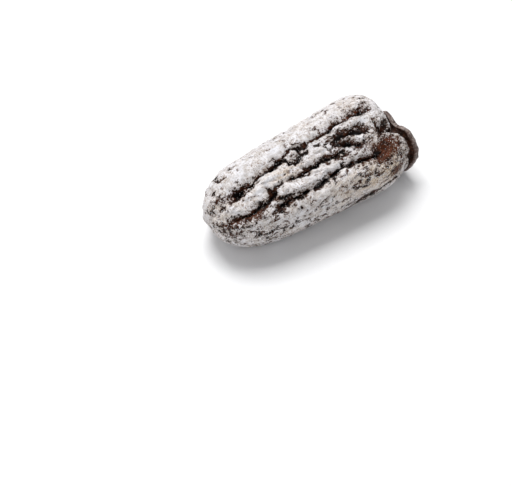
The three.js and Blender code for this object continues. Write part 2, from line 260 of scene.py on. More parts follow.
# The knob stands up as a dome in a narrow moat, in millimetres
KNOB = {"place": (0.43, 87), "radius": 2.8, "height": 1.2, "moat": 0.9, "moat_width": 0.5}
KNOB_GROOVE = 0.4             # share of a groove's depth that is left on the knob
KNOB_BARE = 0.2               # how bare of bloom the knob is
MOAT_BARE = 0.9               # and its moat
MOAT_SHADE = 0.8               # how black the moat is painted, as shade
KNOB_CALM = 1.4               # nothing leans within this many radii of its middle

# Relief from noise on the body: its height and its sizes along X, Y and Z, all in millimetres
COARSE_WRINKLES = (1.2, (13, 3.4, 3.4))
FINE_WRINKLES = (0.5, (5.5, 1.7, 1.7))
WANDER = ((0.9, (4, 4, 4)), (0.8, (1.8, 1.8, 1.8)), (0.5, (0.9, 0.9, 0.9)))
WANDER_OF_BACK = (1.9, (13, 7, 7))
CRUMBS = (0.16, (1.3, 1.1, 1.1))
FINE_CRUMBS = (0.12, (0.6, 0.6, 0.6))

# Sizes of other noise, and how far the drift moves the wrinkles each way
DRIFT_SIZES = (9, 5, 5)
DRIFT = (2.5, 1.6, 1.6)
LUMP_SIZES = (1.9, 1.5, 1.5)
PATCH_SIZES = (6, 3.5, 3.5)

WRINKLE_MIDDLE = 0.2          # of the wrinkles' noise, so that they rise as much as they sink
WRINKLED_BAND = ((0.48, 66), (34, 30))  # place and spread
CRUMBS_OFF = 0.6              # share of the crumbs that a bare groove lacks
HOLLOW_REACH = 5              # points each way over which a hollow is told from the skin round it
BLOOM_ALL_OVER = 0.86
BLOOM_ON_HIGH = 0.25          # more where the skin stands out, and less in a hollow
BLOOM_ON_CREST = 0.2
BARE_AND_SHADED_END = 0.45               # bloom that is missing at the stalk end under the collar's lip: bare flesh, and partly painted shade

# Relief of the thin pieces, in millimetres
COLLAR_RELIEF = {"crease": 0.5, "dent": 0.22, "grain": 0.05}
CALYX_RELIEF = {"vein": 0.3, "curl": 0.34, "torn": 0.35}
STUB_RELIEF = {"fibre": 0.09, "lump": 0.1}

CREASE_SEED = 7
CREASE_BEND = 2.0             # usual degrees that a small crease strays to in its middle
CREASE_SLOPE = 3.0            # and at its end
STATIONS = 300                # rings of the body's fine mesh
SEGMENTS = 326                # points on each ring
TURNED_SEGMENTS = 280         # round the collar and the calyx
POLE_RADIUS = 0.02            # of the first and last ring of a piece that closes on its axis


def mix(a, b, share):
    return a + (b - a) * share


def bell(d):
    return np.exp(-d * d)


def turn(a, b):
    return np.arctan2(np.sin(a - b), np.cos(a - b))


def smooth_step(low, high, value):
    t = np.clip((value - low) / (high - low), 0, 1)
    return t * t * (3 - 2 * t)


def soft_min(a, b, softness):
    h = np.maximum(softness - np.abs(a - b), 0) / softness
    return np.minimum(a, b) - h * h * softness / 4


def soft_max(a, b, softness):
    return -soft_min(-a, -b, softness)


def beside(angle, middle, spread):
    """1 at an angle, fading with the given spread, both in degrees."""
    return bell(turn(angle, math.radians(middle)) / math.radians(spread))


def fullness(t):
    """How full the body is at t, from 0 at the tip to 1 at the stalk end: a round nose, a blunt shoulder."""
    u = np.minimum(np.abs(2 * t - 1), 1)
    nose, shoulder = ((1 - u**along) ** (1 / across) for along, across in (NOSE_POWERS, SHOULDER_POWERS))
    return np.where(t < 0.5, nose, shoulder)


def even_stations(count):
    """Ring places that are evenly spread over the body's outline, without its two ends."""
    t = np.linspace(0, 1, 4001)
    steps = np.hypot(np.diff(t) * LENGTH, FOLD_RADIUS * np.diff(fullness(t)))
    lengths = np.concatenate(([0], np.cumsum(steps)))
    return np.interp(np.linspace(0, lengths[-1], count + 2)[1:-1], lengths, t)


def plain_surface(t, angle):
    """The body before its folds."""
    full = fullness(t)
    c, s = np.cos(angle), np.sin(angle)
    square = (np.abs(c) ** SECTION_POWER + np.abs(s) ** SECTION_POWER) ** (-1 / SECTION_POWER)
    height = np.where(s > 0, mix(*HALF_HEIGHT, t), mix(*BELLY_DEPTH, t))
    to_stalk = smooth_step(TO_STALK_FROM, 1, t)
    return np.stack((
        mix(TIP_X, END_X, t) + 0 * angle,
        mix(AXIS_Y, STALK_CENTRE[1], to_stalk) - mix(*HALF_WIDTH, t) * full * c * square,
        mix(AXIS_Z, STALK_CENTRE[2], to_stalk) + height * full * s * square,
    ), axis=-1)


def plain_outward(t, angle, step=1e-3):
    along = plain_surface(np.minimum(t + step, 1), angle) - plain_surface(np.maximum(t - step, 0), angle)
    across = plain_surface(t, angle + step) - plain_surface(t, angle - step)
    outward = np.cross(along, across)
    return outward / np.maximum(np.linalg.norm(outward, axis=-1, keepdims=True), 1e-9)


def trace(path, t, angle):
    """For each place on the skin: distance to a path, the way from it, and the fold's share left there
    as it fades at its two ends."""
    nearest = np.full(t.shape, 1e9)
    away = np.zeros((2, *t.shape))
    along = np.zeros(t.shape)
    total = 0.0
    for (t0, a0), (t1, a1) in zip(path, path[1:]):
        dx, dy = (t1 - t0) * LENGTH, math.radians(a1 - a0) * FOLD_RADIUS
        px, py = (t - t0) * LENGTH, turn(angle, math.radians(a0)) * FOLD_RADIUS
        length = math.hypot(dx, dy)
        share = np.clip((px * dx + py * dy) / length**2, 0, 1)
        qx, qy = px - share * dx, py - share * dy
        distance = np.hypot(qx, qy)
        closer = distance < nearest
        nearest = np.where(closer, distance, nearest)
        away = np.where(closer, np.stack((qx, qy)), away)
        along = np.where(closer, total + share * length, along)
        total += length
    fade = min(FOLD_FADE, total / 3)
    ends = smooth_step(0, fade, along) * smooth_step(0, fade, total - along)
    return nearest, away / np.maximum(nearest, 1e-6), mix(FOLD_END, 1, ends)


def field(points, scales, octaves=1, seed=0.0):
    """Smooth noise at points, each axis divided by its scale in millimetres."""
    places = points.reshape(-1, 3) / np.array(scales, float) + seed
    if octaves == 1:
        values = [noise.noise(p) for p in places]
    else:
        values = [noise.fractal(p, 1.0, 2.0, octaves) for p in places]
    return np.array(values).reshape(points.shape[:-1])


def blurred(values, reach, times=3):
    """A grid that is closed round its second axis, averaged over reach cells each way."""
    for _ in range(times):
        rows = np.pad(values, ((reach, reach), (0, 0)), mode="edge")
        sums = np.cumsum(np.pad(rows, ((1, 0), (0, 0))), axis=0)
        values = (sums[2 * reach + 1:] - sums[:-2 * reach - 1]) / (2 * reach + 1)
        columns = np.concatenate((values[:, -reach:], values, values[:, :reach]), axis=1)
        sums = np.cumsum(np.pad(columns, ((0, 0), (1, 0))), axis=1)
        values = (sums[:, 2 * reach + 1:] - sums[:, :-2 * reach - 1]) / (2 * reach + 1)
    return values


def spot(place, spread, t, angle):
    """1 at a place on the body, fading with the given spread in millimetres and degrees."""
    return bell((t - place[0]) * LENGTH / spread[0]) * beside(angle, place[1], spread[1])


def zones(table, t, angle):
    """The sum of a table's spots, each with its own share or height."""
    return sum(share * spot(place, spread, t, angle) for place, spread, share in table.values())


# ---------------------------------------------------------------- meshes from grids of rings

def ring_mesh(name, rings, closed_section=False, values=None):
    """A closed mesh over rings of points: capped at both ends, or closed on itself for a hollow ring.
    values are one number a point, kept as named attributes."""
    count, around, _ = rings.shape
    points = rings.reshape(-1, 3)
    index = np.arange(count * around).reshape(count, around)
    beyond = np.roll(index, -1, axis=1)
    lower, upper = (index, np.roll(index, -1, axis=0)) if closed_section else (index[:-1], index[1:])
    lower_beyond, upper_beyond = (
        (beyond, np.roll(beyond, -1, axis=0)) if closed_section else (beyond[:-1], beyond[1:])
    )
    faces = np.stack((lower, lower_beyond, upper_beyond, upper), axis=-1).reshape(-1, 4).tolist()
    if not closed_section:
        first, last = len(points), len(points) + 1
        points = np.concatenate((points, rings[[0, -1]].mean(axis=1)))
        faces += [[first, b, a] for a, b in zip(index[0], beyond[0])]
        faces += [[last, a, b] for a, b in zip(index[-1], beyond[-1])]
    mesh = bpy.data.meshes.new(name)
    mesh.from_pydata(points.tolist(), [], [[int(i) for i in face] for face in faces])
    if signed_volume(points, faces) < 0:
        mesh.flip_normals()
    mesh.shade_smooth()
    for key, grid in (values or {}).items():
        column = grid.reshape(-1)
        if not closed_section:
            column = np.concatenate((column, grid[[0, -1]].mean(axis=1)))
        attribute = mesh.attributes.new(key, "FLOAT", "POINT")
        attribute.data.foreach_set("value", column.astype(np.float32))
    piece = bpy.data.objects.new(name, mesh)
    bpy.context.scene.collection.objects.link(piece)
    return piece


def signed_volume(points, faces):
    quads = np.array([f for f in faces if len(f) == 4])
    a, b, c, d = (points[quads[:, i]] for i in range(4))
    return float((np.einsum("ij,ij->i", a, np.cross(b, c)) + np.einsum("ij,ij->i", a, np.cross(c, d))).sum())


# ---------------------------------------------------------------- the flesh

def fine_creases(seed):
    """Short creases that run more or less along the fruit, as (width, depth, path)."""
    pick = np.random.default_rng(seed)
    for count, shares, angles, lengths, widths, depths in FINE_CREASES.values():
        for _ in range(count):
            run = pick.uniform(*lengths) / LENGTH
            t, angle = pick.uniform(*shares), pick.uniform(*angles)
            bend, slope = pick.normal(0, CREASE_BEND), pick.normal(0, CREASE_SLOPE)
            path = ((t, angle), (t + run / 2, angle + bend), (t + run, angle + slope))
            yield pick.uniform(*widths), pick.uniform(*depths), path


class Folds:
    """What the folds do at each place on the skin: how far they lift it, which way they lean it, and
    shares of its finishes: strength of the grooves, black painted shade down their middles, in the knob's
    moat and in spots, their lit upper wall, a thinner sugar crust beside them and the ridges of the crests."""

    DEEP = 2.4                # a groove this deep is painted fully black down its middle, as shade
    LEANING = 3.4             # and one this deep leans over in full
    LEAN = 0.26               # how far its lips lean, as a share of its width
    MOST_LEAN = 1.2           # in millimetres
    RIDGE_REACH = 0.55        # share of a crest's width that carries thick bloom

    # across a groove, in shares of its reach
    FLANK_POWER = 1.6         # more has steeper sides
    BARE_REACH = 0.95
    BARE_POWER = 2.2
    SHADE_REACH = 0.9
    WALL_AT = 0.75
    WALL_REACH = 0.5

    def __init__(self, t, angle):
        self.strength, self.core, self.wall, self.thin, self.ridge = np.zeros((5, *t.shape))
        # black painted shade at the listed spots
        self.black = zones(PAINTED_SHADE_SPOTS, t, angle)
        self.lean = np.zeros((2, *t.shape))
        crest, groove = np.zeros((2, *t.shape))
        for width, height, path in CRESTS.values():
            nearest, _, ends = trace(path, t, angle)
            crest = np.maximum(crest, height * bell(nearest / (FOLD_REACH * width)) * ends)
            self.ridge = np.maximum(self.ridge, bell(nearest / (self.RIDGE_REACH * width)) * ends)
        small = [("", *crease) for crease in fine_creases(CREASE_SEED)]
        for name, width, depth, path in [(name, *fold) for name, fold in GROOVES.items()] + small:
            nearest, away, ends = trace(path, t, angle)
            across = nearest / (FOLD_REACH * width)
            deep = min(depth / self.DEEP, 1)
            groove = np.maximum(groove, depth * np.exp(-across**self.FLANK_POWER) * ends)
            bare = min(depth / 2, 1) * np.exp(-(across / self.BARE_REACH) ** self.BARE_POWER) * ends
            self.strength = np.maximum(self.strength, bare)
            # black painted shade down the middle of a deep groove, over flesh that is really dark there
            self.core = np.maximum(self.core, bell(across / self.SHADE_REACH) * ends * deep)
            above = smooth_step(-0.2, 0.6, away[1]) * bell((across - self.WALL_AT) / self.WALL_REACH)
            self.wall = np.maximum(self.wall, above * ends * deep)
            self.thin = np.maximum(self.thin, THIN_BESIDE.get(name, 0) * bell(nearest / width) * ends)
            leaning = min(depth / self.LEANING, 1)
            self.lean -= away * self.LEAN * width * across * np.exp(1 - across**2) * ends * leaning
        away = trace((KNOB["place"], (KNOB["place"][0] + 1e-3, KNOB["place"][1])), t, angle)[0]
        moat = bell((away - KNOB["radius"]) / KNOB["moat_width"])
        inside = away < KNOB["radius"]
        dome = KNOB["height"] * np.sqrt(np.clip(1 - (away / KNOB["radius"]) ** 2, 0, 1))
        groove = np.where(inside, KNOB_GROOVE * groove, groove)
        self.strength = np.maximum(np.where(inside, KNOB_BARE, self.strength), MOAT_BARE * moat)
        # painted shade: none on the knob, black in its moat
        self.core = np.maximum(np.where(inside, 0.0, self.core), MOAT_SHADE * moat)
        self.lift = zones(SWELLINGS, t, angle) + crest - np.maximum(groove, KNOB["moat"] * moat) + dome
        upright = 1 - bell(away / (KNOB_CALM * KNOB["radius"]))
        self.lean = np.clip(self.lean, -self.MOST_LEAN, self.MOST_LEAN) * upright


def rise(points, relief, seed):
    """Noise of the height and sizes that a relief has."""
    height, sizes = relief
    return height * field(points, sizes, seed=seed)


def wrinkle_relief(plain, t, angle):
    """Lengthwise wrinkles with sharp creases: strong in the sunken band, faint on the lobes."""
    drift = np.stack([field(plain, DRIFT_SIZES, seed=seed) for seed in (3.1, 7.7, 12.3)], axis=-1)
    places = plain + drift * DRIFT
    wrinkles = sum(height * (np.abs(field(places, sizes, seed=seed)) - WRINKLE_MIDDLE)
                   for (height, sizes), seed in ((COARSE_WRINKLES, 21.0), (FINE_WRINKLES, 33.0)))
    band = spot(*WRINKLED_BAND, t, angle)
    tip = smooth_step(0.16, 0.03, t)
    strength = 0.22 + 0.9 * band + 0.1 * tip + 0.7 * beside(angle, 190, 60)
    return strength * wrinkles + (0.16 + 0.34 * band) * field(plain, LUMP_SIZES, seed=61.0)


def wander(plain, back, seed):
    """How far the folds stray at each place, in millimetres, so that no edge is a clean line. On the back
    they stray more."""
    stray = sum(rise(plain, relief, seed + 4 * i) for i, relief in enumerate(WANDER))
    return stray + back * rise(plain, WANDER_OF_BACK, seed + 12)


def pressed_and_cut(points, t):
    """The body with its stalk end cut back to the end face and its belly pressed flat, and how far each
    point is from the stalk axis."""
    local = (points - STALK_CENTRE) @ STALK_TURN
    reach = np.hypot(local[..., 1], local[..., 2])
    end_face = END_FACE_RISE * np.maximum(reach - END_FACE_RADIUS, 0) ** 2
    cut = np.where(t > CUT_FROM, soft_min(local[..., 0], end_face, CUT_SOFTNESS), local[..., 0])
    points = np.concatenate((cut[..., None], local[..., 1:]), axis=-1) @ STALK_TURN.T + STALK_CENTRE
    points[..., 2] = soft_max(points[..., 2], REST_Z, BELLY_SOFTNESS)
    return points, reach


def make_flesh():
    t = even_stations(STATIONS)[:, None]
    even = np.linspace(0, 2 * math.pi, SEGMENTS, endpoint=False)[None, :]
    angle = even - CROWDING * np.sin(even - CROWD_ANGLE) + 0 * t
    t = t + 0 * angle
    plain = plain_surface(t, angle)
    near_pole = smooth_step(0, POLE_FADE, fullness(t))
    back = beside(angle, 195, 50)

    folds = Folds(t + wander(plain, back, 50.0) / LENGTH, angle + wander(plain, back, 70.0) / FOLD_RADIUS)
    height = (folds.lift + wrinkle_relief(plain, t, angle)) * near_pole

    # the lips of the grooves lean in over them
    lean = folds.lean * near_pole
    moved_t = np.clip(t + lean[0] / LENGTH, 1e-4, 1 - 1e-4)
    moved_angle = angle + lean[1] / FOLD_RADIUS
    points = plain_surface(moved_t, moved_angle) + plain_outward(moved_t, moved_angle) * height[..., None]

    # crumbs of the crust, lower in the grooves
    high = height - blurred(height, HOLLOW_REACH)
    crumbs = rise(plain, CRUMBS, 80.0) + rise(plain, FINE_CRUMBS, 90.0)
    points += plain_outward(t, angle) * (crumbs * near_pole * (1 - CRUMBS_OFF * folds.strength))[..., None]
    points, reach = pressed_and_cut(points, t)

    # patches of bloom cross the folds of the back
    open_fold = 1 - 0.75 * back * smooth_step(-0.05, 0.3, field(plain, PATCH_SIZES, seed=140.0))
    # under the collar's lip the flesh is bare, and its darkness there is partly painted shade
    end_bare_and_shade = smooth_step(0.91, 0.97, t) * smooth_step(15, 9, reach)
    # bloom, thinner in the listed stretches, with painted shade on the front underside and, partly, under the
    # collar's lip
    cover = BLOOM_ALL_OVER + BLOOM_ON_HIGH * np.clip(high / 0.5, -1, 0.4) - folds.strength * open_fold
    cover += BLOOM_ON_CREST * folds.ridge - folds.thin - zones(THIN_BLOOM_AND_SHADE, t, angle) - BARE_AND_SHADED_END * end_bare_and_shade
    finishes = {
        "bloom_and_shade": cover,
        "warmth": zones(CREAM_BLOOM, t, angle),
        "redness": zones(RED_FLESH, t, angle) + 0.4 * folds.wall,
        # black painted shade in the grooves, the knob's moat and at the edge of the bare hollow, less where
        # bloom patches cross the back's folds
        "core": np.maximum(folds.core * open_fold, folds.black),
        "loose": zones(LOOSE_BLOOM, t, angle),
    }
    return ring_mesh("fruit_body", points * MM, values={
        name: np.clip(share, 0, 1) for name, share in finishes.items()})


# ---------------------------------------------------------------- the stalk end

CURVE_STEPS = 24              # between two points of a smooth curve, before it is evenly cut
LIP_STEPS = 6                 # round the lip of a thin wall


def smooth_line(line, count):
    """A smooth curve through (radius, height) points, evenly cut into count points."""
    points = np.array(line, float)
    padded = np.concatenate((2 * points[:1] - points[1:2], points, 2 * points[-1:] - points[-2:-1]))
    dense = []
    for i in range(len(points) - 1):
        a, b, c, d = padded[i:i + 4]
        for s in np.linspace(0, 1, CURVE_STEPS, endpoint=False):
            dense.append(0.5 * (2 * b + (c - a) * s + (2 * a - 5 * b + 4 * c - d) * s**2
                                + (3 * b - a - 3 * c + d) * s**3))
    dense.append(points[-1])
    dense = np.array(dense)
    lengths = np.concatenate(([0], np.cumsum(np.linalg.norm(np.diff(dense, axis=0), axis=1))))
    even = np.linspace(0, lengths[-1], count)
    return np.stack([np.interp(even, lengths, dense[:, i]) for i in (0, 1)], axis=-1)


def wall_section(line, wall, count):
    """The section of a thin wall round a middle line: its near side, its round lip and its far side."""
    middle = smooth_line(line, count)
    run = np.gradient(middle, axis=0)
    run /= np.linalg.norm(run, axis=1, keepdims=True)
    side = np.stack((-run[:, 1], run[:, 0]), axis=-1) * wall / 2
    near, far = middle - side, middle + side
    angles = np.radians(np.linspace(-90, 90, LIP_STEPS + 1)[1:-1])
    lip = [middle[-1] + run[-1] * wall / 2 * math.cos(a) + side[-1] * math.sin(a) for a in angles]
    return np.concatenate((near, lip, far[::-1]))


def turned_rings(section, segments):
    """Distance, height and angle round the stalk axis of each point of a turned (radius, height) section,
    and each ring's share of the way round the section."""
    angle = np.linspace(0, 2 * math.pi, segments, endpoint=False)[None, :]
    radius = section[:, :1] + 0 * angle
    height = section[:, 1:] + 0 * angle
    return radius, height, angle + 0 * radius, np.linspace(0, 1, len(section))[:, None]


def on_stalk(x, radius, angle):
    """Places from height, distance and angle round the stalk axis, in the part's own coordinates."""
    local = np.stack((x, -radius * np.cos(angle), radius * np.sin(angle)), axis=-1)
    return local @ STALK_TURN.T + STALK_CENTRE


def drum(height, radius, angle):
    """Places on a drum round the stalk axis: noise there closes on itself and runs out along the piece."""
    return np.stack((height, radius * np.cos(angle), radius * np.sin(angle)), axis=-1)


def rim_wave(waves, angle):
    """How far the waves of a rim reach out at an angle."""
    return sum(depth * np.sin(count * angle + phase) for depth, count, phase in waves)


def make_collar():
    neck, lip = COLLAR["line"][0][0], COLLAR["line"][-1][0]
    section = wall_section(COLLAR["line"], COLLAR["wall"], 34)
    radius, x, angle, along = turned_rings(section, TURNED_SEGMENTS)
    out = (radius - neck) / (lip - neck)
    notch, front, bottom = (
        beside(angle, *COLLAR[place]) for place in ("notch_place", "drawn_place", "pressed_place"))
    further = rim_wave(COLLAR["waves"], angle)
    further = further - COLLAR["drawn"] * front - COLLAR["pressed"] * bottom - COLLAR["notch"] * notch
    wider = 1 + out * further / lip
    x = x * (1 - COLLAR["notch_sink"] * out * notch)

    # creases that run outwards, dents and a fine grain
    plain = on_stalk(x, radius * wider, angle)
    rays = np.abs(field(drum(x * 0.5, 9, angle), (5, 1.5, 1.5), seed=5.0))
    dents = field(plain, (2.6, 2.6, 2.6), octaves=3, seed=15.0)
    grain = field(plain, (0.7, 0.7, 0.7), seed=25.0)
    lift = COLLAR_RELIEF["crease"] * (rays - 0.35) * out + COLLAR_RELIEF["dent"] * dents * out
    lift = lift + COLLAR_RELIEF["grain"] * grain
    points = on_stalk(x + 0.8 * lift, radius * wider + 0.5 * lift, angle)
    outer_side = smooth_step(0.42, 0.56, along)
    # crease marks the valleys of the creases, where near-black shade is painted
    return ring_mesh("collar", points * MM, closed_section=True, values={
        "frost": outer_side * smooth_step(0.3, 0.8, out), "crease": np.clip(1 - rays * 4, 0, 1)})


def make_calyx():
    foot, rim = CUP["line"][1][0], CUP["line"][-1][0]
    section = wall_section(CUP["line"], CUP["wall"], 40)
    section[[0, -1], 0] = POLE_RADIUS
    radius, x, angle, along = turned_rings(section, TURNED_SEGMENTS)
    out = smooth_step(foot, rim, radius)

    # sepals with a dip between each two, deepest beside the notch in the collar
    notch_angle = math.radians(COLLAR["notch_place"][0])
    between = np.abs(np.cos(CUP["sepals"] / 2 * (angle - notch_angle))) ** CUP["dip_power"]
    deepest, bottom = (beside(angle, *CUP[place]) for place in ("deepest_place", "pressed_place"))
    torn = field(drum(0 * angle, 6, angle), (1, 0.55, 0.55), octaves=4, seed=44.0)
    further = rim_wave(CUP["waves"], angle) + CALYX_RELIEF["torn"] * torn
    further = further - CUP["dip"] * (between + deepest) - CUP["pressed"] * bottom
    wider = 1 + out * further / rim
    x = x + CUP["ripple"] * out * (np.sin(CUP["ripples"] * angle) - between)

    # veins that run outwards and papery crinkles
    veins = np.abs(field(drum(radius / 6, 6, angle), (1, 0.8, 0.8), seed=71.0))
    curls = np.abs(field(drum(radius, 3, angle), (1.1, 2.2, 2.2), seed=77.0))
    lift = CALYX_RELIEF["vein"] * (veins - 0.2) + CALYX_RELIEF["curl"] * (curls - 0.2)
    centre = on_stalk(x + lift * smooth_step(2.4, 5, radius), radius * wider, angle)
    offset = np.stack((0 * out, out * CUP["shift"][0], out * CUP["shift"][1]), axis=-1) @ STALK_TURN.T
    # vein and curl mark the valleys of the vein and crinkle relief, darkened in the finish: painted shade in
    # the crinkles
    return ring_mesh("calyx", (centre + offset) * MM, values={
        "rim": np.clip(smooth_step(0.80, 1.0, radius / rim + 0.10 * torn), 0, 1),
        "outside": smooth_step(0.56, 0.44, along) + 0 * angle, "spread": out,
        "vein": np.clip(1 - veins * 5, 0, 1), "curl": np.clip(1 - curls * 5, 0, 1)})


def make_stub():
    r, bore, rim, drop = (STUB[key] for key in ("radius", "bore", "rim", "rim_drop"))
    foot, top = STUB_FOOT, STUB_FOOT + STUB["height"]
    floor = top - STUB["bore_depth"]
    flank = (
        (POLE_RADIUS, foot), (0.8 * r, foot), (r, foot + 0.15), (0.95 * r, foot + 0.9),
        (STUB["waist"] * r, foot + 2.0), (0.95 * r, top - 0.8), (r, top - drop), (r - rim, top),
    )
    hole = (
        (bore + rim, top), (bore, top - drop), (bore * 0.9, top - 1.2), (bore * STUB["bore_taper"], floor),
        (0.6, floor - 0.25), (POLE_RADIUS, floor - STUB["bore_floor"]),
    )
    radius, x, angle, _ = turned_rings(smooth_line(flank + hole, 90), 96)
    fibres = field(drum(x * 0.15, 2, angle), (1, 0.35, 0.35), octaves=2, seed=9.0)
    lumps = field(on_stalk(x, radius, angle), (1.1, 1.1, 1.1), octaves=2, seed=19.0)
    worn = smooth_step(0.3, 1.2, radius)
    lump, fibre = STUB_RELIEF["lump"] * lumps, STUB_RELIEF["fibre"] * fibres
    points = on_stalk(x + lump * worn, radius + (fibre + lump) * worn, angle)
    # bore marks the deep inside of the bore, painted near black as shade
    return ring_mesh("stub", points * MM, values={
        "cut_end": smooth_step(top - 0.6, top - 0.1, x) * smooth_step(bore - 0.1, bore + 0.2, radius),
        "fibre": np.clip(0.5 + fibres, 0, 1), "bore": smooth_step(bore, bore - 0.3, radius)})


# ---------------------------------------------------------------- finishes

def put(tree, socket, value):
    """Sets a socket to a value, or links it to another socket."""
    if isinstance(value, bpy.types.NodeSocket):
        tree.links.new(value, socket)
    else:
        socket.default_value = value


def add_node(tree, kind, inputs=None, **settings):
    """A new node in a tree, with its inputs given by name or number."""
    node = tree.nodes.new(kind)
    for key, value in settings.items():
        setattr(node, key, value)
    for key, value in (inputs or {}).items():
        put(tree, node.inputs[key], value)
    return node


class Finish:
    """A material and short ways to add its nodes. Patterns read Object coordinates in millimetres."""

    def __init__(self, name):
        self.material = bpy.data.materials.new(name)
        self.material.use_nodes = True
        self.tree = self.material.node_tree
        self.shader = self.tree.nodes["Principled BSDF"]
        place = self.add("ShaderNodeTexCoord").outputs["Object"]
        scaled = self.add("ShaderNodeVectorMath", {0: place}, operation="SCALE")
        scaled.inputs["Scale"].default_value = 1 / MM
        self.place = scaled.outputs[0]

    def add(self, kind, inputs=None, **settings):
        return add_node(self.tree, kind, inputs, **settings)

    def attribute(self, name):
        return self.add("ShaderNodeAttribute", attribute_name=name).outputs["Fac"]

    def noise(self, size, detail=2.0, roughness=0.55, stretch=None, seed=0.0):
        """Noise with features of about this size in millimetres; stretch lengthens them along x, y, z."""
        place = self.add("ShaderNodeMapping", {"Vector": self.place, "Location": (seed, seed, seed)})
        if stretch:
            place.inputs["Scale"].default_value = tuple(1 / s for s in stretch)
        return self.add("ShaderNodeTexNoise", {
            "Vector": place.outputs[0], "Scale": 1 / size, "Detail": detail, "Roughness": roughness,
        }).outputs["Fac"]

    def sum(self, *terms):
        """Terms are sockets or (socket, factor) or plain numbers, added up."""
        total = None
        for term in terms:
            if isinstance(term, tuple):
                term = self.times(*term)
            total = term if total is None else self.math("ADD", total, term)
        return total

    def math(self, operation, a, b=0.0, clamp=False):
        return self.add("ShaderNodeMath", {0: a, 1: b}, operation=operation, use_clamp=clamp).outputs[0]

    def times(self, a, b, clamp=False):
        return self.math("MULTIPLY", a, b, clamp)

    def step(self, value, low, high):
        """0 below low, 1 above high, and smooth between."""
        return self.add("ShaderNodeMapRange", {"Value": value, "From Min": low, "From Max": high},
                        interpolation_type="SMOOTHSTEP").outputs["Result"]

    def scale(self, value, low, high):
        """A 0..1 value turned into low..high."""
        node = self.add("ShaderNodeMapRange", {"Value": value, "To Min": low, "To Max": high})
        return node.outputs["Result"]

    def blend(self, share, a, b):
        node = self.add("ShaderNodeMix", {0: share}, data_type="RGBA")
        put(self.tree, node.inputs[6], rgb(a))
        put(self.tree, node.inputs[7], rgb(b))
        return node.outputs[2]

    def bump(self, height, depth, under=None):
        """Bump from a 0..1 height, with depth in millimetres."""
        node = self.add("ShaderNodeBump", {"Height": height, "Distance": depth * MM})
        if under is not None:
            put(self.tree, node.inputs["Normal"], under)
        return node.outputs[0]

    def finish(self, color, roughness, normal, specular):
        put(self.tree, self.shader.inputs["Base Color"], color)
        put(self.tree, self.shader.inputs["Roughness"], roughness)
        put(self.tree, self.shader.inputs["Normal"], normal)
        self.shader.inputs["Specular IOR Level"].default_value = specular
        return self.material


def rgb(color):
    return (*color, 1.0) if isinstance(color, tuple) else color


# Colours, as linear shares of red, green and blue
BLOOM_COOL = (0.84, 0.84, 0.88)
BLOOM_GREY = (0.54, 0.515, 0.51)
BLOOM_WARM = (0.70, 0.57, 0.43)
BLOOM_THIN = (0.22, 0.14, 0.095)
GRAIN_WHITE = (0.84, 0.83, 0.84)
GRAIN_CREAM = (0.70, 0.64, 0.58)
# Painted shade: the black down the grooves, in the knob's moat and at the edge of the bare hollow
SHADE_BLACK = (0.005, 0.003, 0.0025)
FLESH_DARK = (0.012, 0.006, 0.004)
FLESH_BROWN = (0.058, 0.019, 0.008)
FLESH_RED = (0.105, 0.024, 0.006)
SKIN_DARK = (0.060, 0.022, 0.012)
SKIN_RED = (0.190, 0.074, 0.042)
SKIN_GREY = (0.185, 0.160, 0.150)
SKIN_DUST = (0.46, 0.41, 0.385)
# painted shade down the collar's creases
SKIN_CREASE_SHADE = (0.02, 0.010, 0.007)
SKIN_SPECK = (0.50, 0.42, 0.36)
CALYX_BROWN = (0.20, 0.100, 0.050)
CALYX_OCHRE = (0.42, 0.215, 0.090)
CALYX_HEART = (0.085, 0.032, 0.016)
CALYX_RED = (0.17, 0.055, 0.018)
CALYX_ORANGE = (0.34, 0.125, 0.038)
CALYX_FIBRE = (0.34, 0.23, 0.15)
# dark along the sunken veins, and painted shade in the valleys of the crinkles
CALYX_VEIN_AND_CREASE_SHADE = (0.055, 0.025, 0.014)
CALYX_STRAW = (0.40, 0.29, 0.20)
CALYX_PALE = (0.62, 0.54, 0.46)
STEM_DARK = (0.07, 0.036, 0.022)
STEM_BROWN = (0.22, 0.13, 0.08)
STEM_WORN = (0.28, 0.20, 0.14)
STEM_CUT = (0.55, 0.48, 0.41)
# painted shade down in the stem's bore
STEM_BORE_SHADE = (0.014, 0.007, 0.004)
FLOOR_PALE = (0.90, 0.90, 0.91)
FLOOR_PALER = (0.92, 0.92, 0.92)
SKY = (0.97, 0.98, 1.0, 1.0)


